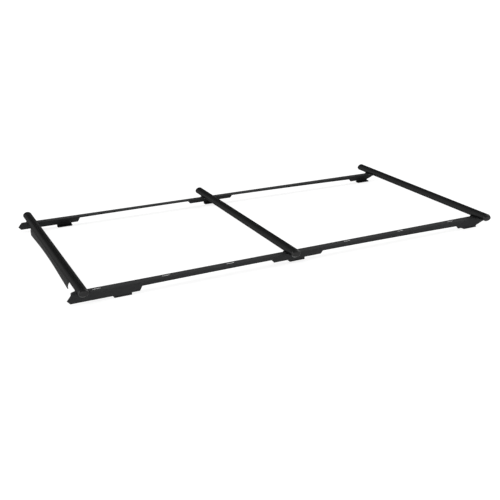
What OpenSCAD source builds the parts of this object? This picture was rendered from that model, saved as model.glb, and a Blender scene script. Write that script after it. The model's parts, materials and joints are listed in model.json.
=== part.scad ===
// Roof rack frame for a vehicle: two formed side rails carry three oval cross bars
// and a wind deflector. +X is the front of the vehicle, +Y its left side, +Z up.
// The origin is midway along and between the rails, on the plane under the outer feet.

/* [Cross bars] */
// Length of a cross bar over its end caps
bar_length = 1350; // [1250:10:1450]
// Width of the oval bar section, front to back
bar_width = 51; // [49:1:56]
// Height of the oval bar section
bar_height = 42; // [40:1:44]
// Radius of the tight curves at the front and back of the bar
bar_nose_radius = 16; // [15:0.5:17]
// Wall thickness of the bar extrusion
bar_wall = 2.5; // [2:0.5:3]
// Width of the strip slot along the top of a bar
strip_slot = 11; // [9:1:13]
// Distance from the front bar to the middle bar
front_bay = 1107; // [1100:1:1200]
// Distance from the middle bar to the rear bar
rear_bay = 1238; // [1200:1:1300]
// How far an end cap stands out from the end of the extrusion
cap_length = 9; // [9:1:16]
// Radius of the rounded edge of an end cap
cap_rim = 8; // [3:0.5:8]

/* [Side rails] */
// Thickness of the rail sheet
sheet = 3; // [2.5:0.5:4]
// Width of the top flange over the bend
flange_width = 41; // [38:1:44]
// Outside radius of the bends in the sheet
bend_radius = 6; // [5:0.5:8]
// How far the rail tip reaches ahead of the front bar
front_overhang = 69; // [60:1:80]
// How far the rail end reaches behind the rear bar
rear_overhang = 68; // [60:1:80]
// Distance from the end of the front bar to the outer face of a rail
bar_overhang = 62; // [50:1:75]
// Angle at which each rail closes in towards the rear
toe_angle = 0.71; // [0:0.01:1]
// Gap between the rail top and the underside of a bar
saddle_gap = 1.5; // [1.5:0.5:4]

/* [Rail depths] */
// Web depth at its shallowest point, between the front and middle feet
web_min = 18.5; // [17:0.5:20]
// Web depth where the front deep section ends
web_front = 21.5; // [20:0.5:26]
// Web depth where the rear deep section begins
web_rear = 29.5; // [26:0.5:32]
// Web depth over the middle foot
deep_middle = 34.5; // [33:0.5:38]
// Web depth of the deep section at the front
deep_front = 44.5; // [40:0.5:48]
// Web depth of the deep section at the rear
deep_rear = 45.5; // [42:0.5:48]
// Web depth at the blunt rear end of the rail
rear_end = 18; // [8:1:24]
// Radius of the free corners of the top flange, at both ends of the rail
flange_corner = 30; // [6:1:30]

/* [Feet] */
// Length of a foot along the rail
foot_length = 88; // [76:1:96]
// Width of the foot's base flange over the bend
foot_width = 30; // [28:1:40]
// Depth of the outer feet below the rail top, to the steel underside
foot_drop = 53; // [52:0.5:60]
// How much higher the middle feet stand, for the crown of the roof
middle_foot_rise = 9; // [4:1:10]
// Thickness of the rubber pad under a foot
pad_thickness = 3; // [2:0.5:6]
// Diameter of the fixing hole in a foot
foot_hole = 9; // [8:0.5:11]

/* [Top flange slots] */
// Length of a slot over its round ends
slot_length = 45; // [40:1:60]
// Width of a slot
slot_width = 9.5; // [8:0.5:12]
// Distance between neighbouring slots
slot_pitch = 348; // [340:1:352]
// Distance from the front bar to the first slot
first_slot = 82; // [75:1:90]
// Distance from the rail's outer face to the middle of a slot
slot_inset = 26; // [22:0.5:28]

/* [Wind deflector] */
// Length of the deflector across the vehicle, at its lower edge
deflector_length = 890; // [800:2:1000]
// Sheet thickness of the deflector
deflector_sheet = 2.5; // [2:0.5:3]
// Radius of the panel's forward bow
bow_radius = 62; // [55:1:80]
// How far the panel stands ahead of the middle of the front bar
deflector_reach = 27; // [26:0.5:30]
// Height of the panel's top edge above the rail top
deflector_rise = 7; // [5:0.5:8]
// Depth of the panel's lower edge below the rail top, in the middle
deflector_drop = 13; // [12:1:20]
// How much deeper the panel hangs at its ends
deflector_arch = 20; // [10:1:24]
// How much longer the panel is at its top than at its lower edge, at each end
deflector_slant = 20; // [0:1:24]

/* [Hidden] */
$fn = 64;

// How far a cutting shape runs past the face that it cuts
past = 1;

// Places along the rail are measured backwards from the front bar
rail_length = front_overhang + front_bay + rear_bay + rear_overhang;
front_bar_x = rail_length / 2 - front_overhang;
FRONT = 0;
MIDDLE = front_bay;
REAR = front_bay + rear_bay;
LEFT = 1;
RIGHT = -1;

// Heights above the ground plane
rail_top = foot_drop + pad_thickness;
bar_axis_z = rail_top + saddle_gap + bar_height / 2;

// Distance of a rail's outer face from the middle of the vehicle, at a place along the rail
function rail_y(place) = bar_length / 2 - bar_overhang - place * tan(toe_angle);

// Stretches of the rail, measured backwards from the front bar
front_deep_end = 300;
middle_deep_start = 1001;
middle_deep_end = 1308;
rear_deep_start = 2198;
shallow_place = 972;
chamfer = 14;
foot_places = [202, 1152, 2299];
rear_deep_end = foot_places[2] + foot_length / 2;

// Front tip of the web
tip_depth = 27.5;
tip_rake = 23;
tip_undercut = 15;

// Web depth in the shallow bays: two parabolas that meet level at the shallowest point
function web_depth(place) = place < shallow_place
    ? web_min + (web_front - web_min) * pow((shallow_place - place) / (shallow_place - front_deep_end), 2)
    : web_min + (web_rear - web_min) * pow((place - shallow_place) / (rear_deep_start - shallow_place), 2);
function arched_edge(start, end, steps) =
    [for (i = [0:steps]) let (place = start + (end - start) * i / steps) [place, -web_depth(place)]];

// Side outline of the web, front to rear, with zero at the rail top
web_outline = concat(
    [[tip_rake - front_overhang, 0], [-front_overhang, -tip_depth],
     [tip_undercut - front_overhang, -deep_front], [front_deep_end - chamfer, -deep_front]],
    arched_edge(front_deep_end, middle_deep_start, 10),
    [[middle_deep_start + chamfer, -deep_middle], [middle_deep_end - chamfer, -deep_middle]],
    arched_edge(middle_deep_end, rear_deep_start, 12),
    [[rear_deep_start + chamfer, -deep_rear], [rear_deep_end, -deep_rear],
     [REAR + rear_overhang, -rear_end], [REAR + rear_overhang, 0]]);

// Bent sheet in section: an upright leg on the outside and a leg turned inwards at the top
module angle_section(width, height) {
    difference() {
        union() {
            translate([0, -height]) square([sheet, height - bend_radius]);
            translate([bend_radius, -sheet]) square([width - bend_radius, sheet]);
            intersection() {
                translate([bend_radius, -bend_radius]) circle(bend_radius);
                translate([0, -bend_radius]) square(bend_radius);
            }
        }
        translate([bend_radius, -bend_radius]) circle(bend_radius - sheet);
    }
}

module bent_sheet(start, length, width, height) {
    translate([start, 0, 0]) rotate([90, 0, 90]) linear_extrude(length) angle_section(width, height);
}

// A slot's plan: a square run with round ends
module slot_outline() {
    half_run = (slot_length - slot_width) / 2;
    square([2 * half_run, slot_width], center = true);
    for (end = [-1, 1]) translate([end * half_run, 0]) circle(d = slot_width);
}

// The slots keep one pitch, and the one that would lie under the middle bar is left out
slot_numbers = [0, 1, 2, 4, 5, 6];
module flange_slots() {
    for (number = slot_numbers)
        translate([first_slot + number * slot_pitch, slot_inset, -sheet - past])
            linear_extrude(sheet + 2 * past) slot_outline();
}

// Plan of the top flange: square at the web, with its two free corners rounded
module flange_plan() {
    front = tip_rake - front_overhang;
    back = REAR + rear_overhang;
    translate([-front_overhang, 0]) square([rail_length, bend_radius]);
    translate([front, 0]) square([back - front, flange_width - flange_corner]);
    translate([front + flange_corner, 0]) square([back - front - 2 * flange_corner, flange_width]);
    for (x = [front + flange_corner, back - flange_corner])
        translate([x, flange_width - flange_corner]) circle(flange_corner);
}

module rail_web_and_flange() {
    depth = deep_rear + past;
    intersection() {
        bent_sheet(-front_overhang, rail_length, flange_width, depth);
        translate([0, flange_width, 0]) rotate([90, 0, 0]) linear_extrude(flange_width) polygon(web_outline);
        translate([0, 0, -depth]) linear_extrude(depth + past) flange_plan();
    }
}

// Plan of a foot's base flange, with its two free corners rounded
foot_corner = 7;
module foot_plan() {
    square([foot_length, foot_width - foot_corner]);
    translate([foot_corner, 0]) square([foot_length - 2 * foot_corner, foot_width]);
    for (x = [foot_corner, foot_length - foot_corner])
        translate([x, foot_width - foot_corner]) circle(foot_corner);
}

hole_inset = foot_width / 2 + 2;
module foot(place, drop) {
    translate([place - foot_length / 2, 0, -drop]) difference() {
        intersection() {
            mirror([0, 0, 1]) bent_sheet(0, foot_length, foot_width, drop - bend_radius);
            linear_extrude(drop) foot_plan();
        }
        translate([foot_length / 2, hole_inset, -past]) cylinder(d = foot_hole, h = sheet + 2 * past);
    }
}

function foot_depth(i) = i == 1 ? foot_drop - middle_foot_rise : foot_drop;

module rail_blank() {
    difference() {
        union() {
            rail_web_and_flange();
            for (i = [0:2]) foot(foot_places[i], foot_depth(i));
        }
        flange_slots();
    }
}

// Puts a shape that is drawn in places along the rail, with zero at the rail top, on one side
module on_rail(side) {
    translate([front_bar_x, side * rail_y(0), rail_top])
        rotate([0, 0, side * toe_angle])
            mirror([0, side > 0 ? 1 : 0, 0])
                mirror([1, 0, 0]) children();
}

module rail(side) {
    color("#3a3b3d") on_rail(side) rail_blank();
}

// Rubber pad with the plan of the foot's base flange and a clear hole for the fixing
pad_hole = foot_hole + 3;
module foot_pad(i, side) {
    color("#141414") on_rail(side)
        translate([foot_places[i] - foot_length / 2, 0, -foot_depth(i) - pad_thickness]) difference() {
            linear_extrude(pad_thickness) foot_plan();
            translate([foot_length / 2, hole_inset, -past])
                cylinder(d = pad_hole, h = pad_thickness + 2 * past);
        }
}

// Oval of four tangent arcs: the flat ones are struck from far centres, the noses from near ones
function nose_place(width, nose) = width / 2 - nose;
function flat_radius(width, height, nose) =
    (pow(nose_place(width, nose), 2) + pow(height / 2, 2) - nose * nose) / (height - 2 * nose);
function joint_place(width, height, nose) = nose_place(width, nose) * flat_radius(width, height, nose)
    / (flat_radius(width, height, nose) - nose);

module oval(width, height, nose) {
    flat = flat_radius(width, height, nose);
    intersection() {
        translate([0, height / 2 - flat]) circle(flat, $fn = 180);
        translate([0, flat - height / 2]) circle(flat, $fn = 180);
        square([2 * joint_place(width, height, nose), height], center = true);
    }
    for (end = [-1, 1]) translate([end * nose_place(width, nose), 0]) circle(nose);
}

module bar_oval() {
    oval(bar_width, bar_height, bar_nose_radius);
}

// T-shaped channel that opens at the top of the oval: a narrow mouth over a wider seat
lip = 3;
seat_width = strip_slot + 6;
seat_depth = 6;
module channel() {
    translate([-strip_slot / 2, bar_height / 2 - lip - past]) square([strip_slot, lip + 2 * past]);
    translate([-seat_width / 2, bar_height / 2 - lip - seat_depth]) square([seat_width, seat_depth]);
}

// Solid metal round the channel
module channel_block() {
    block_width = seat_width + 2 * bar_wall;
    block_depth = lip + seat_depth + bar_wall;
    translate([-block_width / 2, bar_height / 2 - block_depth]) square([block_width, block_depth]);
}

// The hollow of the extrusion, which the spigot of an end cap fills
module bar_hollow() {
    difference() {
        oval(bar_width - 2 * bar_wall, bar_height - 2 * bar_wall, bar_nose_radius - bar_wall);
        channel_block();
    }
}

module bar_profile() {
    difference() {
        bar_oval();
        bar_hollow();
        channel();
    }
}

// Puts a section that is drawn front to back and upwards across the vehicle at a bar
module along_bar(place) {
    translate([front_bar_x - place, 0, bar_axis_z]) rotate([90, 0, 0]) children();
}

tube_length = bar_length - 2 * cap_length;
module cross_bar(place) {
    color("#2e2f30") along_bar(place) linear_extrude(tube_length, center = true) bar_profile();
}

// Rubber strip: a ribbed top that fills the mouth and a wider root that locks in the seat
strip_root = 2;
rib_gap = 1;
rib_depth = 0.8;
rib_pitch = 2.6;
module bar_strip(place) {
    color("#101010") along_bar(place) linear_extrude(tube_length, center = true) {
        difference() {
            intersection() {
                bar_oval();
                translate([-strip_slot / 2, bar_height / 2 - lip - strip_root])
                    square([strip_slot, lip + strip_root]);
            }
            for (groove = [-1:1])
                translate([groove * rib_pitch - rib_gap / 2, bar_height / 2 - rib_depth])
                    square([rib_gap, past]);
        }
        translate([-seat_width / 2 + past, bar_height / 2 - lip - strip_root])
            square([seat_width - 2 * past, strip_root]);
    }
}

// Outline of the cap seen square on: a block whose two outer corners are rounded
module end_outline(width) {
    translate([-width / 2, cap_rim]) square([width, cap_length - cap_rim]);
    translate([cap_rim - width / 2, 0]) square([width - 2 * cap_rim, cap_length]);
    for (side = [-1, 1]) translate([side * (width / 2 - cap_rim), cap_rim]) circle(cap_rim);
}

// Where the oval meets that outline as seen from above and from the front, its rim is rounded all round
module rounded_end() {
    intersection() {
        linear_extrude(cap_length) bar_oval();
        translate([0, bar_height, 0]) rotate([90, 0, 0])
            linear_extrude(2 * bar_height) end_outline(bar_width);
        translate([-bar_width, 0, 0]) rotate([90, 0, 90])
            linear_extrude(2 * bar_width) end_outline(bar_height);
    }
}

// Moulded cap: a rounded end outside the extrusion and a spigot in its hollow
spigot_length = 16;
module end_cap(place, side) {
    color("#3c3d3f") translate([0, side * bar_length / 2, 0]) along_bar(place)
        mirror([0, 0, side < 0 ? 1 : 0]) {
            rounded_end();
            translate([0, 0, cap_length]) linear_extrude(spigot_length) bar_hollow();
        }
}

// Moulded saddle: a thin seat under the bar, with lips that cradle it in front and behind
saddle_length = 44;
saddle_height = 6;
saddle_margin = 3;
saddle_slope = 3;
module saddle_section() {
    difference() {
        polygon([[-saddle_length / 2, 0], [saddle_length / 2, 0],
                 [saddle_length / 2 - saddle_slope, saddle_height],
                 [saddle_slope - saddle_length / 2, saddle_height]]);
        translate([0, saddle_gap + bar_height / 2]) bar_oval();
    }
}

module bar_saddle(place, side) {
    saddle_width = flange_width - bend_radius - saddle_margin;
    middle_y = side * (rail_y(place) - bend_radius - saddle_width / 2);
    color("#161616") translate([front_bar_x - place, middle_y, rail_top]) rotate([90, 0, 0])
        linear_extrude(saddle_width, center = true) saddle_section();
}

// Lower edge of the deflector: an arch that hangs deeper at the ends, where t is -1 or 1
function panel_low(t) = rail_top - deflector_drop - deflector_arch * t * t;
arch_steps = 16;
function panel_arch(shift) =
    [for (i = [0:arch_steps]) let (t = 1 - 2 * i / arch_steps)
        [t * deflector_length / 2, panel_low(t) + shift]];
function turned(points) = [for (i = [len(points) - 1:-1:0]) points[i]];

// Tube across the vehicle whose front is the bowed face of the panel
bow_depth = 21;
module bowed_layer(outside, inside) {
    translate([front_bar_x + deflector_reach - bow_radius, 0, rail_top - bow_depth]) rotate([90, 0, 0])
        linear_extrude(deflector_length + 2 * deflector_slant, center = true) difference() {
            circle(bow_radius + outside, $fn = 128);
            circle(bow_radius - inside, $fn = 128);
        }
}

// Runs an outline that is drawn across the vehicle and upwards through the front of that tube
module through_front() {
    translate([front_bar_x, 0, 0]) rotate([90, 0, 90]) linear_extrude(bow_radius) children();
}

module wind_deflector() {
    half_top = deflector_length / 2 + deflector_slant;
    top_z = rail_top + deflector_rise;
    color("#46474a") intersection() {
        bowed_layer(0, deflector_sheet);
        through_front() polygon(concat([[-half_top, top_z], [half_top, top_z]], panel_arch(0)));
    }
}

// Rubber trim: a thin lining on both sides of the panel's lower edge, closed under it
trim_wall = 1.2;
trim_height = 6;
module deflector_edge_trim() {
    color("#121212") difference() {
        intersection() {
            bowed_layer(trim_wall, deflector_sheet + trim_wall);
            through_front() polygon(concat(panel_arch(trim_height), turned(panel_arch(-trim_wall))));
        }
        wind_deflector();
    }
}

// Strap from the underside of the bar to the back of the panel, formed to both
bracket_width = 36;
bracket_sheet = 3;
bracket_back = 14;
bracket_low = -bar_height / 2 - saddle_gap - deflector_drop + trim_height + past;
module bracket_section() {
    back_radius = bow_radius - deflector_sheet;
    difference() {
        intersection() {
            translate([deflector_reach - bow_radius, -bow_depth - saddle_gap - bar_height / 2])
                circle(back_radius, $fn = 128);
            translate([-bracket_back, bracket_low]) square([back_radius, bar_height / 2]);
            union() {
                translate([-bracket_back, -bar_height / 2 - bracket_sheet])
                    square([back_radius, bracket_sheet + past]);
                difference() {
                    translate([0, bracket_low]) square(bar_height / 2);
                    translate([deflector_reach - bow_radius, -bow_depth - saddle_gap - bar_height / 2])
                        circle(back_radius - bracket_sheet, $fn = 128);
                }
            }
        }
        bar_oval();
    }
}

module deflector_bracket(y) {
    color("#2a2a2b") translate([0, y, 0]) along_bar(FRONT)
        linear_extrude(bracket_width, center = true) bracket_section();
}

rail(LEFT);  // side_rail_left
rail(RIGHT);  // side_rail_right
cross_bar(FRONT);  // cross_bar_front
cross_bar(MIDDLE);  // cross_bar_middle
cross_bar(REAR);  // cross_bar_rear
bar_strip(FRONT);  // bar_strip_front
bar_strip(MIDDLE);  // bar_strip_middle
bar_strip(REAR);  // bar_strip_rear
end_cap(FRONT, LEFT);  // end_cap_front_left
end_cap(FRONT, RIGHT);  // end_cap_front_right
end_cap(MIDDLE, LEFT);  // end_cap_middle_left
end_cap(MIDDLE, RIGHT);  // end_cap_middle_right
end_cap(REAR, LEFT);  // end_cap_rear_left
end_cap(REAR, RIGHT);  // end_cap_rear_right
bar_saddle(FRONT, LEFT);  // bar_saddle_front_left
bar_saddle(FRONT, RIGHT);  // bar_saddle_front_right
bar_saddle(MIDDLE, LEFT);  // bar_saddle_middle_left
bar_saddle(MIDDLE, RIGHT);  // bar_saddle_middle_right
bar_saddle(REAR, LEFT);  // bar_saddle_rear_left
bar_saddle(REAR, RIGHT);  // bar_saddle_rear_right
foot_pad(0, LEFT);  // foot_pad_front_left
foot_pad(0, RIGHT);  // foot_pad_front_right
foot_pad(1, LEFT);  // foot_pad_middle_left
foot_pad(1, RIGHT);  // foot_pad_middle_right
foot_pad(2, LEFT);  // foot_pad_rear_left
foot_pad(2, RIGHT);  // foot_pad_rear_right
wind_deflector();
deflector_edge_trim();
deflector_bracket(deflector_length / 3);  // deflector_bracket_left
deflector_bracket(0);  // deflector_bracket_centre
deflector_bracket(-deflector_length / 3);  // deflector_bracket_right
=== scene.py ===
# %% [markdown]
# # A roof rack frame, dressed and lit
#
# The object is an open frame for a vehicle's roof: two formed side rails carry three oval cross bars, and a
# low wind deflector hangs under the front one. Its solids come ready made, at their real size. This lesson
# gives each of them a finish, adds the bolts that hold the frame together, models the caps that close the
# bars, and lights it all like a product picture on white. Each cell makes one thing and prints what it made.

# %% Load the frame
import json
import math

import bmesh
import bpy
from mathutils import Matrix, Vector


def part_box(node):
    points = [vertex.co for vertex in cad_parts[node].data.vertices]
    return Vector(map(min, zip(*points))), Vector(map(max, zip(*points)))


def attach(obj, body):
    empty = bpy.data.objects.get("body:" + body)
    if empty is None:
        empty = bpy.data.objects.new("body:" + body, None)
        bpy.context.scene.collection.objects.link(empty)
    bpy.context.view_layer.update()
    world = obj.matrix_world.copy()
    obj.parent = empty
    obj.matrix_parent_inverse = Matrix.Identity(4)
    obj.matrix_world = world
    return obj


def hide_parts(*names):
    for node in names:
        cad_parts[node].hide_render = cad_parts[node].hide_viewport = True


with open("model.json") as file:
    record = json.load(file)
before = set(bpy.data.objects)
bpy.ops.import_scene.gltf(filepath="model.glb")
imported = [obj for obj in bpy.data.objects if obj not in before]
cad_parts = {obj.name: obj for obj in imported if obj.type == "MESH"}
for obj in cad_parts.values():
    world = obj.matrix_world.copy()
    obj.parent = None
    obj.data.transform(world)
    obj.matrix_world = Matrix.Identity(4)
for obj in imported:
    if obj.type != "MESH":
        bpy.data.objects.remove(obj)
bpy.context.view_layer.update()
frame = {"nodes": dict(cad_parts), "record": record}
nodes = frame["nodes"]

# %% [markdown]
# ## The camera
#
# The camera stands ahead of the frame on its left side and looks down along it. Its place is measured from
# the front bar, across the middle of the vehicle and from the top of the rails. A heading, a tilt and a
# small roll turn it, one after the other, which is easier to read than three mixed angles.

# %% Camera
MM = 0.001
CAMERA_LENS = 58.76
SENSOR_WIDTH = 36
VIEW_REACH = 200
HEADING = 180 - 24.776
TILT = 90 - 20.185
ROLL = -1.179
AHEAD_OF_FRONT_BAR = 750.1 * MM
LEFT_OF_MIDDLE = 4128.8 * MM
ABOVE_RAILS = 1488 * MM
rail_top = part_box("side_rail_left")[1].z
front_bar_x = sum(corner.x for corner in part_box("bar_saddle_front_left")) / 2


def make_camera():
    """A camera at the photograph's angle, turned by its heading, then its tilt and then its roll."""
    data = bpy.data.cameras.new("view")
    data.lens = CAMERA_LENS
    data.sensor_width = SENSOR_WIDTH
    data.clip_end = VIEW_REACH
    camera = bpy.data.objects.new("view", data)
    bpy.context.scene.collection.objects.link(camera)
    heading = Matrix.Rotation(math.radians(HEADING), 3, "Z")
    tilt = Matrix.Rotation(math.radians(TILT), 3, "X")
    roll = Matrix.Rotation(math.radians(ROLL), 3, "Z")
    camera.matrix_world = (heading @ tilt @ roll).to_4x4()
    camera.location = (front_bar_x + AHEAD_OF_FRONT_BAR, LEFT_OF_MIDDLE, rail_top + ABOVE_RAILS)
    bpy.context.scene.camera = camera
    return camera


camera = make_camera()
print("camera at", tuple(round(value, 3) for value in camera.location))

# %% [markdown]
# ## The studio
#
# A product picture on white needs a floor that is white in the picture but doesn't flood the object with
# light. This floor is white paper. For camera, glossy and transmission rays an even glow takes the place of
# about two thirds of it, so the shadow of the frame stays, but only faintly. White walls up to the ceiling
# would light every side of black metal alike. So the surroundings are white only up to a low height, dark
# above that and grey overhead. The round bars mirror these bands, and that draws the dark line along their
# tops. Four wide soft lamps do the rest.

# %% Node helpers


def new_material(name):
    """An empty node material with its output, ready for a shader."""
    material = bpy.data.materials.new(name)
    material.use_nodes = True
    tree = material.node_tree
    tree.nodes.clear()
    output = tree.nodes.new("ShaderNodeOutputMaterial")
    return material, tree, output


def add(tree, kind, inputs=None, **settings):
    """Adds one node, sets its options and the sockets that stay constant."""
    node = tree.nodes.new(kind)
    for key, value in settings.items():
        setattr(node, key, value)
    for key, value in (inputs or {}).items():
        node.inputs[key].default_value = value
    return node


def calculated(tree, operation, first, second=0.0):
    """One Math node; each value is a socket or a number."""
    step = add(tree, "ShaderNodeMath", operation=operation)
    for socket, value in zip(step.inputs, (first, second)):
        if isinstance(value, bpy.types.NodeSocket):
            tree.links.new(value, socket)
        else:
            socket.default_value = value
    return step.outputs[0]


print("helpers for node trees: new_material, add and calculated")

# %% Floor
FLOOR_HALF = 60
PAPER_WHITE = 0.8
GLOW_SHARE = 0.68
GLOW_STRENGTH = 1.22


def white_floor_material():
    """White paper that glows a little for the camera and in mirrors, but lights the object as paper."""
    material, tree, output = new_material("studio_floor")
    paper = add(tree, "ShaderNodeBsdfDiffuse", {"Color": (PAPER_WHITE, PAPER_WHITE, PAPER_WHITE, 1)})
    glow = add(tree, "ShaderNodeEmission", {"Color": (1, 1, 1, 1), "Strength": GLOW_STRENGTH})
    rays = add(tree, "ShaderNodeLightPath").outputs
    mirrored = calculated(tree, "MAXIMUM", rays["Is Glossy Ray"], rays["Is Transmission Ray"])
    seen = calculated(tree, "MAXIMUM", rays["Is Camera Ray"], mirrored)
    both = add(tree, "ShaderNodeMixShader")
    tree.links.new(calculated(tree, "MULTIPLY", seen, GLOW_SHARE), both.inputs["Fac"])
    tree.links.new(paper.outputs[0], both.inputs[1])
    tree.links.new(glow.outputs[0], both.inputs[2])
    tree.links.new(both.outputs[0], output.inputs["Surface"])
    return material


def make_floor():
    """A wide flat sheet under the feet, which belongs to the stage and not to the object."""
    shape = bmesh.new()
    bmesh.ops.create_grid(shape, x_segments=1, y_segments=1, size=FLOOR_HALF)
    mesh = bpy.data.meshes.new("studio_floor")
    shape.to_mesh(mesh)
    shape.free()
    floor = bpy.data.objects.new("studio_floor", mesh)
    bpy.context.scene.collection.objects.link(floor)
    mesh.materials.append(white_floor_material())


make_floor()
print("floor", FLOOR_HALF * 2, "m square, under the feet")

# %% World
SKY_LEVELS = {6: 1.0, 17: 0.1, 24: 0.1, 36: 0.35}


def make_world():
    """White paper walls up to a low height all round, a dark gap above them and a grey ceiling."""
    world = bpy.data.worlds.new("studio")
    world.use_nodes = True
    tree = world.node_tree
    direction = add(tree, "ShaderNodeTexCoord").outputs["Generated"]
    height = add(tree, "ShaderNodeSeparateXYZ")
    levels = add(tree, "ShaderNodeValToRGB")
    stops = levels.color_ramp.elements
    for elevation, level in SKY_LEVELS.items():
        stops.new(math.sin(math.radians(elevation))).color = (level, level, level, 1)
    stops.remove(stops[-1])
    stops.remove(stops[0])
    tree.links.new(direction, height.inputs["Vector"])
    tree.links.new(height.outputs["Z"], levels.inputs["Fac"])
    tree.links.new(levels.outputs["Color"], tree.nodes["Background"].inputs["Color"])
    bpy.context.scene.world = world


make_world()
print("levels of the surroundings by height in degrees:", SKY_LEVELS)

# %% Lamps


def soft_sun(name, towards, strength, spread):
    """A sun as wide as a softbox: it lights floor and object evenly, however far they reach."""
    data = bpy.data.lights.new(name, "SUN")
    data.energy = strength
    data.angle = math.radians(spread)
    lamp = bpy.data.objects.new(name, data)
    bpy.context.scene.collection.objects.link(lamp)
    lamp.matrix_world = Vector(towards).to_track_quat("Z", "Y").to_matrix().to_4x4()


soft_sun("rear_softbox", towards=(-0.8, -0.1, 0.75), strength=1.6, spread=50)
soft_sun("front_softbox", towards=(0.8, -0.1, 0.75), strength=1.2, spread=50)
soft_sun("side_softbox", towards=(0.2, 1, 0.1), strength=1.15, spread=45)
soft_sun("low_softbox", towards=(1, -0.6, 0.3), strength=1.0, spread=90)

# %% [markdown]
# ## Finishes
#
# Nearly everything here is black or dark grey, so the finishes differ in their grain and gloss and less in
# their colour. The rails have a fine-textured powder coat, the bars a smoother, darker satin coat with the
# faint lines of an extrusion, and the mouldings and rubbers a grain of their own. One function builds all of
# them from the same few layers: a broad drift of colour, a fine grain, paler edges and a bump. The paler
# edges are partly a thinner coat and partly a painted highlight. Plain black plastic turns pale where it is
# seen at a low angle. The satin coat of the bars hardly does, and a thin coat with a high index of
# refraction gives it that even sheen.

# %% Patterns and colours
NOISE_ROUGHNESS = 0.6
BEVEL_SAMPLES = 4
EDGE_RADIUS = 1.2 * MM
EDGE_COSINE = 0.75
FLAT_COSINE = 0.99


def noise(tree, coordinates, scale, detail, stretch=(1, 1, 1)):
    """Noise over the object's own coordinates, stretched along one direction where the grain is."""
    mapping = add(tree, "ShaderNodeMapping", {"Scale": stretch})
    settings = {"Scale": scale, "Detail": detail, "Roughness": NOISE_ROUGHNESS}
    texture = add(tree, "ShaderNodeTexNoise", settings)
    tree.links.new(coordinates, mapping.inputs["Vector"])
    tree.links.new(mapping.outputs["Vector"], texture.inputs["Vector"])
    return texture.outputs["Fac"]


def ranged(tree, value, low, high, start=0.3, end=0.7):
    """Spreads the stretch from start to end between two limits; the defaults suit a noise."""
    limits = {"From Min": start, "From Max": end, "To Min": low, "To Max": high}
    spread = add(tree, "ShaderNodeMapRange", limits)
    tree.links.new(value, spread.inputs["Value"])
    return spread.outputs["Result"]


def edge_mask(tree):
    """One along sharp edges and nothing on flat faces, found from a normal that is rounded over the edge."""
    rounded = add(tree, "ShaderNodeBevel", {"Radius": EDGE_RADIUS}, samples=BEVEL_SAMPLES)
    flat = add(tree, "ShaderNodeNewGeometry")
    likeness = add(tree, "ShaderNodeVectorMath", operation="DOT_PRODUCT")
    tree.links.new(rounded.outputs["Normal"], likeness.inputs[0])
    tree.links.new(flat.outputs["Normal"], likeness.inputs[1])
    return ranged(tree, likeness.outputs["Value"], 1, 0, EDGE_COSINE, FLAT_COSINE)


def blended(tree, factor, first, second):
    """Mixes two colours, or a colour and a socket, by a factor."""
    mix = add(tree, "ShaderNodeMix", data_type="RGBA")
    tree.links.new(factor, mix.inputs["Factor"])
    for name, colour in (("A", first), ("B", second)):
        socket = [s for s in mix.inputs if s.name == name and s.type == "RGBA"][0]
        if isinstance(colour, bpy.types.NodeSocket):
            tree.links.new(colour, socket)
        else:
            socket.default_value = colour
    return [s for s in mix.outputs if s.type == "RGBA"][0]


def grey(level, warmth=0.0):
    """A near-neutral colour, slightly blue for a negative warmth."""
    return (level * (1 + warmth), level, level * (1 - warmth), 1)


print("edges are found within", round(EDGE_RADIUS / MM, 1), "mm")

# %% [markdown]
# ## Painted shade inside the feet
#
# The insides of the feet, where they turn inwards, sit deep in shade, and that shade is painted into the
# rail's colour as a near-black tone. It could be painted on foot by foot. A mask worked out from the places
# of the rubber pads is shorter and follows the frame if its sizes change. It fades into the coat along the
# rail and towards the rail's top.

# %% A mask for the painted shade
# A near-black colour painted inside the feet as shade, and the most of the coat that it takes over.
PAINTED_SHADE_COLOUR = grey(0.004)
PAINTED_SHADE_SHARE = 0.62
FADE_ALONG = 50 * MM
FADE_DOWN = 34 * MM
OUTER_SKIN = 2 * MM
PLACES = ("front", "middle", "rear")


def painted_foot_shade(tree, place):
    """How much painted shade shows: most inside each foot, and fading out along the rail and towards its
    top.
    """
    apart = add(tree, "ShaderNodeSeparateXYZ")
    tree.links.new(place, apart.inputs["Vector"])
    across = calculated(tree, "ABSOLUTE", apart.outputs["Y"])
    depth = ranged(tree, apart.outputs["Z"], PAINTED_SHADE_SHARE, 0, rail_top - FADE_DOWN, rail_top)
    share = 0.0
    for where in PLACES:
        low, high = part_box(f"foot_pad_{where}_left")
        half_length = (high.x - low.x) / 2
        offset = calculated(tree, "SUBTRACT", apart.outputs["X"], (low.x + high.x) / 2)
        along = calculated(tree, "ABSOLUTE", offset)
        near = ranged(tree, along, 1, 0, half_length - FADE_ALONG / 2, half_length + FADE_ALONG / 2)
        inside = calculated(tree, "LESS_THAN", across, high.y - OUTER_SKIN)
        share = calculated(tree, "MAXIMUM", calculated(tree, "MULTIPLY", near, inside), share)
    return calculated(tree, "MULTIPLY", share, depth)


print("the painted_shade fades into the coat over", round(FADE_ALONG / MM), "mm along the rail")

# %% [markdown]
# ## One function for all finishes
#
# A finish is named by its three tones, its range of roughness and its grain. Two noises drive everything
# else: a broad one drifts between the dark and the light tone, and a fine one speckles the colour, varies
# the gloss and raises the bump. Image textures would show more of one real surface, but noise has no seams
# and stays sharp at any distance.

# %% A finish from layers
DRIFT_SCALE = 9
DRIFT_DETAIL = 3
GRAIN_DETAIL = 2
SPECKLE = 0.35
SOFT_RADIUS = 0.6 * MM
BUMP_STRENGTH = 0.35
COAT_ROUGHNESS = 0.25
COAT_IOR = 3.0


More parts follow.
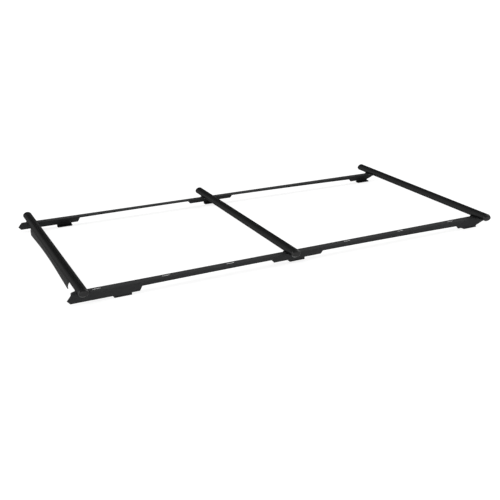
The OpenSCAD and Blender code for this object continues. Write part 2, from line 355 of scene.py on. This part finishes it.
def finish(name, tones, roughness, grain, stretch=(1, 1, 1), specular=0.3, coat=0.0, painted_shade_mask=None):
    """A coated, moulded or rubber surface: drift, grain, paler edges and bump in one material."""
    dark, light, thin_coat_and_highlight = tones
    grain_size, grain_depth = grain
    material, tree, output = new_material(name)
    place = add(tree, "ShaderNodeTexCoord").outputs["Object"]
    shader = add(tree, "ShaderNodeBsdfPrincipled", {"Specular IOR Level": specular, "Coat Weight": coat,
                                                    "Coat Roughness": COAT_ROUGHNESS, "Coat IOR": COAT_IOR})
    drift = noise(tree, place, DRIFT_SCALE, DRIFT_DETAIL)
    fine = noise(tree, place, 1 / grain_size, GRAIN_DETAIL, stretch)
    base = blended(tree, ranged(tree, drift, 0, 1), dark, light)
    speckled = blended(tree, ranged(tree, fine, 0, SPECKLE), base, light)
    # The edges turn paler: partly a thinner coat there, and partly a painted highlight along them.
    colour = blended(tree, edge_mask(tree), speckled, thin_coat_and_highlight)
    # Where a painted-shade mask is given, near-black painted shade is mixed into the colour there.
    if painted_shade_mask:
        colour = blended(tree, painted_shade_mask(tree, place), colour, PAINTED_SHADE_COLOUR)
    tree.links.new(colour, shader.inputs["Base Color"])
    tree.links.new(ranged(tree, fine, *roughness), shader.inputs["Roughness"])
    rounded = add(tree, "ShaderNodeBevel", {"Radius": SOFT_RADIUS}, samples=BEVEL_SAMPLES)
    bump = add(tree, "ShaderNodeBump", {"Strength": BUMP_STRENGTH, "Distance": grain_depth})
    tree.links.new(fine, bump.inputs["Height"])
    tree.links.new(rounded.outputs["Normal"], bump.inputs["Normal"])
    tree.links.new(bump.outputs["Normal"], shader.inputs["Normal"])
    tree.links.new(bump.outputs["Normal"], shader.inputs["Coat Normal"])
    tree.links.new(shader.outputs["BSDF"], output.inputs["Surface"])
    return material


print("edges look rounded by", round(SOFT_RADIUS / MM, 1), "mm")

# %% The finishes of this frame
ALONG_BAR = (1, 0.02, 1)
COOL = -0.02
finishes = {
    # The rail coat carries painted shade inside its feet.
    "rail_coat": finish("rail_coat", (grey(0.027, COOL), grey(0.033, COOL), grey(0.043)), (0.6, 0.75),
                        (1.2 * MM, 0.4 * MM), specular=0.04, painted_shade_mask=painted_foot_shade),
    "bar_coat": finish("bar_coat", (grey(0.005, COOL), grey(0.007, COOL), grey(0.014)), (0.4, 0.5),
                       (1.6 * MM, 0.2 * MM), ALONG_BAR, specular=0.0, coat=0.065),
    "strip_rubber": finish("strip_rubber", (grey(0.004), grey(0.007), grey(0.010)), (0.7, 0.85),
                           (1.5 * MM, 0.3 * MM), specular=0.04),
    "cap_plastic": finish("cap_plastic", (grey(0.004), grey(0.006), grey(0.005)), (0.24, 0.32),
                          (0.9 * MM, 0.2 * MM), specular=0.32),
    "saddle_plastic": finish("saddle_plastic", (grey(0.004), grey(0.006), grey(0.009)), (0.55, 0.7),
                             (1.0 * MM, 0.3 * MM), specular=0.1),
    "pad_rubber": finish("pad_rubber", (grey(0.02), grey(0.028), grey(0.034)), (0.75, 0.9),
                         (1.8 * MM, 0.5 * MM), specular=0.1),
    "deflector_coat": finish("deflector_coat", (grey(0.009, COOL), grey(0.011, COOL), grey(0.017)),
                             (0.38, 0.5), (1.2 * MM, 0.3 * MM), specular=0.02),
    "trim_rubber": finish("trim_rubber", (grey(0.010), grey(0.014), grey(0.02)), (0.5, 0.65),
                          (1.2 * MM, 0.3 * MM)),
    "bracket_coat": finish("bracket_coat", (grey(0.012), grey(0.016), grey(0.04)), (0.45, 0.6),
                           (1.2 * MM, 0.3 * MM)),
}
zinc = finish("black_zinc", (grey(0.02), grey(0.035), grey(0.12)), (0.25, 0.42), (0.7 * MM, 0.1 * MM),
              specular=0.6)
print(len(finishes) + 1, "finishes")

# %% [markdown]
# ## Dressing the solids
#
# The frame's record names a material slot for every solid, and the finishes above go by the same names, so
# one loop dresses them all. Their edges could be bevelled in the meshes first. The finishes round them in
# the shading instead, which leaves the ready-made meshes as they are.

# %% Dress the solids
slot_of = {row["node"]: row["material_slot"] for row in frame["record"]["subparts"]}
for name, solid in nodes.items():
    solid.data.materials.clear()
    solid.data.materials.append(finishes[slot_of[name]])
print("dressed", len(nodes), "solids")

# %% [markdown]
# ## Bolts
#
# Each bar is held down at both ends by a bolt that comes up through the rail's flange and the saddle into a
# threaded insert in the bar's underside, and each deflector strap by a bolt into an insert of its own. What
# shows is a hexagon head and a washer. Both could be typed in point by point, but operators keep them short
# and easy to resize: a head is a six-sided cylinder whose lower rim is bevelled, and a washer is a small
# rectangle spun round its axis.

# %% From a bmesh to a piece
WELD_DISTANCE = 1e-6


def finished_piece(shape, name, material):
    """Turns a bmesh into a piece of the object that rides on the frame."""
    bmesh.ops.remove_doubles(shape, verts=shape.verts, dist=WELD_DISTANCE)
    bmesh.ops.recalc_face_normals(shape, faces=shape.faces)
    mesh = bpy.data.meshes.new(name)
    shape.to_mesh(mesh)
    shape.free()
    mesh.materials.append(material)
    piece = bpy.data.objects.new(name, mesh)
    bpy.context.scene.collection.objects.link(piece)
    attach(piece, "root")
    return piece


print("every new piece rides on root, the frame's one body")

# %% One bolt head with its washer
HEAD_ACROSS = 13 * MM
HEAD_HEIGHT = 5.3 * MM
HEAD_CHAMFER = 0.8 * MM
WASHER_RADIUS = 9 * MM
WASHER_HOLE = 4.2 * MM
WASHER_THICKNESS = 1.6 * MM
WASHER_STEPS = 40


def hex_head(name, top):
    """A hexagon head that hangs under a point, its lower rim chamfered."""
    shape = bmesh.new()
    corner_radius = HEAD_ACROSS / 2 / math.cos(math.pi / 6)
    bmesh.ops.create_cone(shape, cap_ends=True, segments=6, radius1=corner_radius, radius2=corner_radius,
                          depth=HEAD_HEIGHT)
    lower = [edge for edge in shape.edges if all(v.co.z < 0 for v in edge.verts)]
    bmesh.ops.bevel(shape, geom=lower, offset=HEAD_CHAMFER, segments=2, profile=0.5, affect="EDGES",
                    material=-1)
    bmesh.ops.translate(shape, verts=shape.verts, vec=Vector(top) - Vector((0, 0, HEAD_HEIGHT / 2)))
    finished_piece(shape, name, zinc)


def washer(name, top):
    """A flat ring under a point, spun from a rectangle."""
    shape = bmesh.new()
    corners = [(WASHER_HOLE, 0, 0), (WASHER_RADIUS, 0, 0), (WASHER_RADIUS, 0, -WASHER_THICKNESS),
               (WASHER_HOLE, 0, -WASHER_THICKNESS)]
    section = shape.faces.new([shape.verts.new(corner) for corner in corners])
    edges = list(section.edges)
    bmesh.ops.delete(shape, geom=[section], context="FACES_ONLY")
    bmesh.ops.spin(shape, geom=edges, cent=(0, 0, 0), axis=(0, 0, 1), angle=math.tau, steps=WASHER_STEPS,
                   use_merge=True)
    bmesh.ops.translate(shape, verts=shape.verts, vec=top)
    finished_piece(shape, name, zinc)


def bolt(name, under):
    """A washer against a surface and the head of the bolt below it."""
    washer(f"{name}_washer", under)
    hex_head(f"{name}_head", Vector(under) - Vector((0, 0, WASHER_THICKNESS)))


print("heads", round(HEAD_ACROSS / MM), "mm across, washers", round(2 * WASHER_RADIUS / MM), "mm")

# %% Bolts under the rails and under the deflector straps
RAIL_SHEET = 3 * MM
BRACKET_SHEET = 3 * MM
ENDS = [(bar, side) for bar in PLACES for side in ("left", "right")]
STRAPS = ("left", "centre", "right")
for bar, side in ENDS:
    low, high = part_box(f"bar_saddle_{bar}_{side}")
    bolt(f"saddle_bolt_{bar}_{side}", ((low.x + high.x) / 2, (low.y + high.y) / 2, rail_top - RAIL_SHEET))
bar_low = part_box("end_cap_front_left")[0].z
for where in STRAPS:
    low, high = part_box(f"deflector_bracket_{where}")
    bolt(f"deflector_bolt_{where}", (front_bar_x, (low.y + high.y) / 2, bar_low - BRACKET_SHEET))
print(len(ENDS) + len(STRAPS), "bolts with washers")

# %% [markdown]
# ## End caps
#
# A moulded cap closes each end of a bar. Its root has the oval of the bar, and from there its top slopes
# down and its underside slopes up to a flatter face with a rounded rim. The ready-made solids only have a
# rounded block there, so these caps take their place. They could be lofted from drawn outlines. Here a
# filled circle is stretched to the oval, its face is extruded outwards and resized, and the rim of the new
# face is bevelled: four numbers then say the whole form. The plug that holds the cap in the tube is
# extruded from the root in the same way.

# %% One end cap
CAP_SEGMENTS = 72
CAP_FACE_WIDTH = 46 * MM
CAP_FACE_TOP = 11 * MM
CAP_FACE_BOTTOM = -16 * MM
CAP_ROUNDING = 3 * MM
ROUNDING_STEPS = 4
PLUG_SIZE = (0.78, 1, 0.58)
PLUG_LENGTH = 20 * MM
PLUG_DROP = 4 * MM
SMOOTH_BELOW = math.radians(40)


def grown(shape, face, size, shift):
    """Extrudes a face, resizes the copy about the bar's axis and shifts it."""
    new = bmesh.ops.extrude_face_region(shape, geom=[face, *face.edges, *face.verts])["geom"]
    corners = [part for part in new if isinstance(part, bmesh.types.BMVert)]
    bmesh.ops.scale(shape, vec=size, verts=corners)
    bmesh.ops.translate(shape, vec=shift, verts=corners)
    return [part for part in new if isinstance(part, bmesh.types.BMFace)][0]


def end_cap(bar, side):
    """A cap in the place of its solid, with its root against the end of the tube."""
    node = f"end_cap_{bar}_{side}"
    low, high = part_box(node)
    tube_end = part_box(f"cross_bar_{bar}")[1].y
    half = (high - low) / 2
    length = max(high.y, -low.y) - tube_end
    shape = bmesh.new()
    bmesh.ops.create_circle(shape, segments=CAP_SEGMENTS, radius=1, cap_ends=True)
    bmesh.ops.rotate(shape, verts=shape.verts, matrix=Matrix.Rotation(math.radians(90), 3, "X"))
    bmesh.ops.scale(shape, verts=shape.verts, vec=(half.x, 1, half.z))
    root = shape.faces[:][0]
    face_size = (CAP_FACE_WIDTH / half.x / 2, 1, (CAP_FACE_TOP - CAP_FACE_BOTTOM) / half.z / 2)
    face_shift = (0, length, (CAP_FACE_TOP + CAP_FACE_BOTTOM) / 2)
    face = grown(shape, root, face_size, face_shift)
    bmesh.ops.bevel(shape, geom=list(face.edges), offset=CAP_ROUNDING, segments=ROUNDING_STEPS, profile=0.5,
                    affect="EDGES", material=-1)
    # The root is still the first face of the mesh, and the plug starts from there.
    plug_root = grown(shape, shape.faces[:][0], PLUG_SIZE, (0, 0, -PLUG_DROP))
    grown(shape, plug_root, (1, 1, 1), (0, -PLUG_LENGTH, 0))
    bmesh.ops.translate(shape, verts=shape.verts, vec=((low.x + high.x) / 2, tube_end, (low.z + high.z) / 2))
    if side == "right":
        bmesh.ops.scale(shape, verts=shape.verts, vec=(1, -1, 1))
    piece = finished_piece(shape, f"cap_{bar}_{side}", finishes["cap_plastic"])
    piece.data.shade_smooth()
    piece.data.set_sharp_from_angle(angle=SMOOTH_BELOW)
    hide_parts(node)
    return piece


print("cap face", round(CAP_FACE_WIDTH / MM), "by", round((CAP_FACE_TOP - CAP_FACE_BOTTOM) / MM), "mm")

# %% All six caps
caps = [end_cap(bar, side) for bar, side in ENDS]
print(len(caps), "caps,", len(caps[0].data.polygons), "faces each")

# %% [markdown]
#
# Last, the picture's colours are shown through the standard view transform.

# %% View settings
bpy.context.scene.view_settings.view_transform = "Standard"
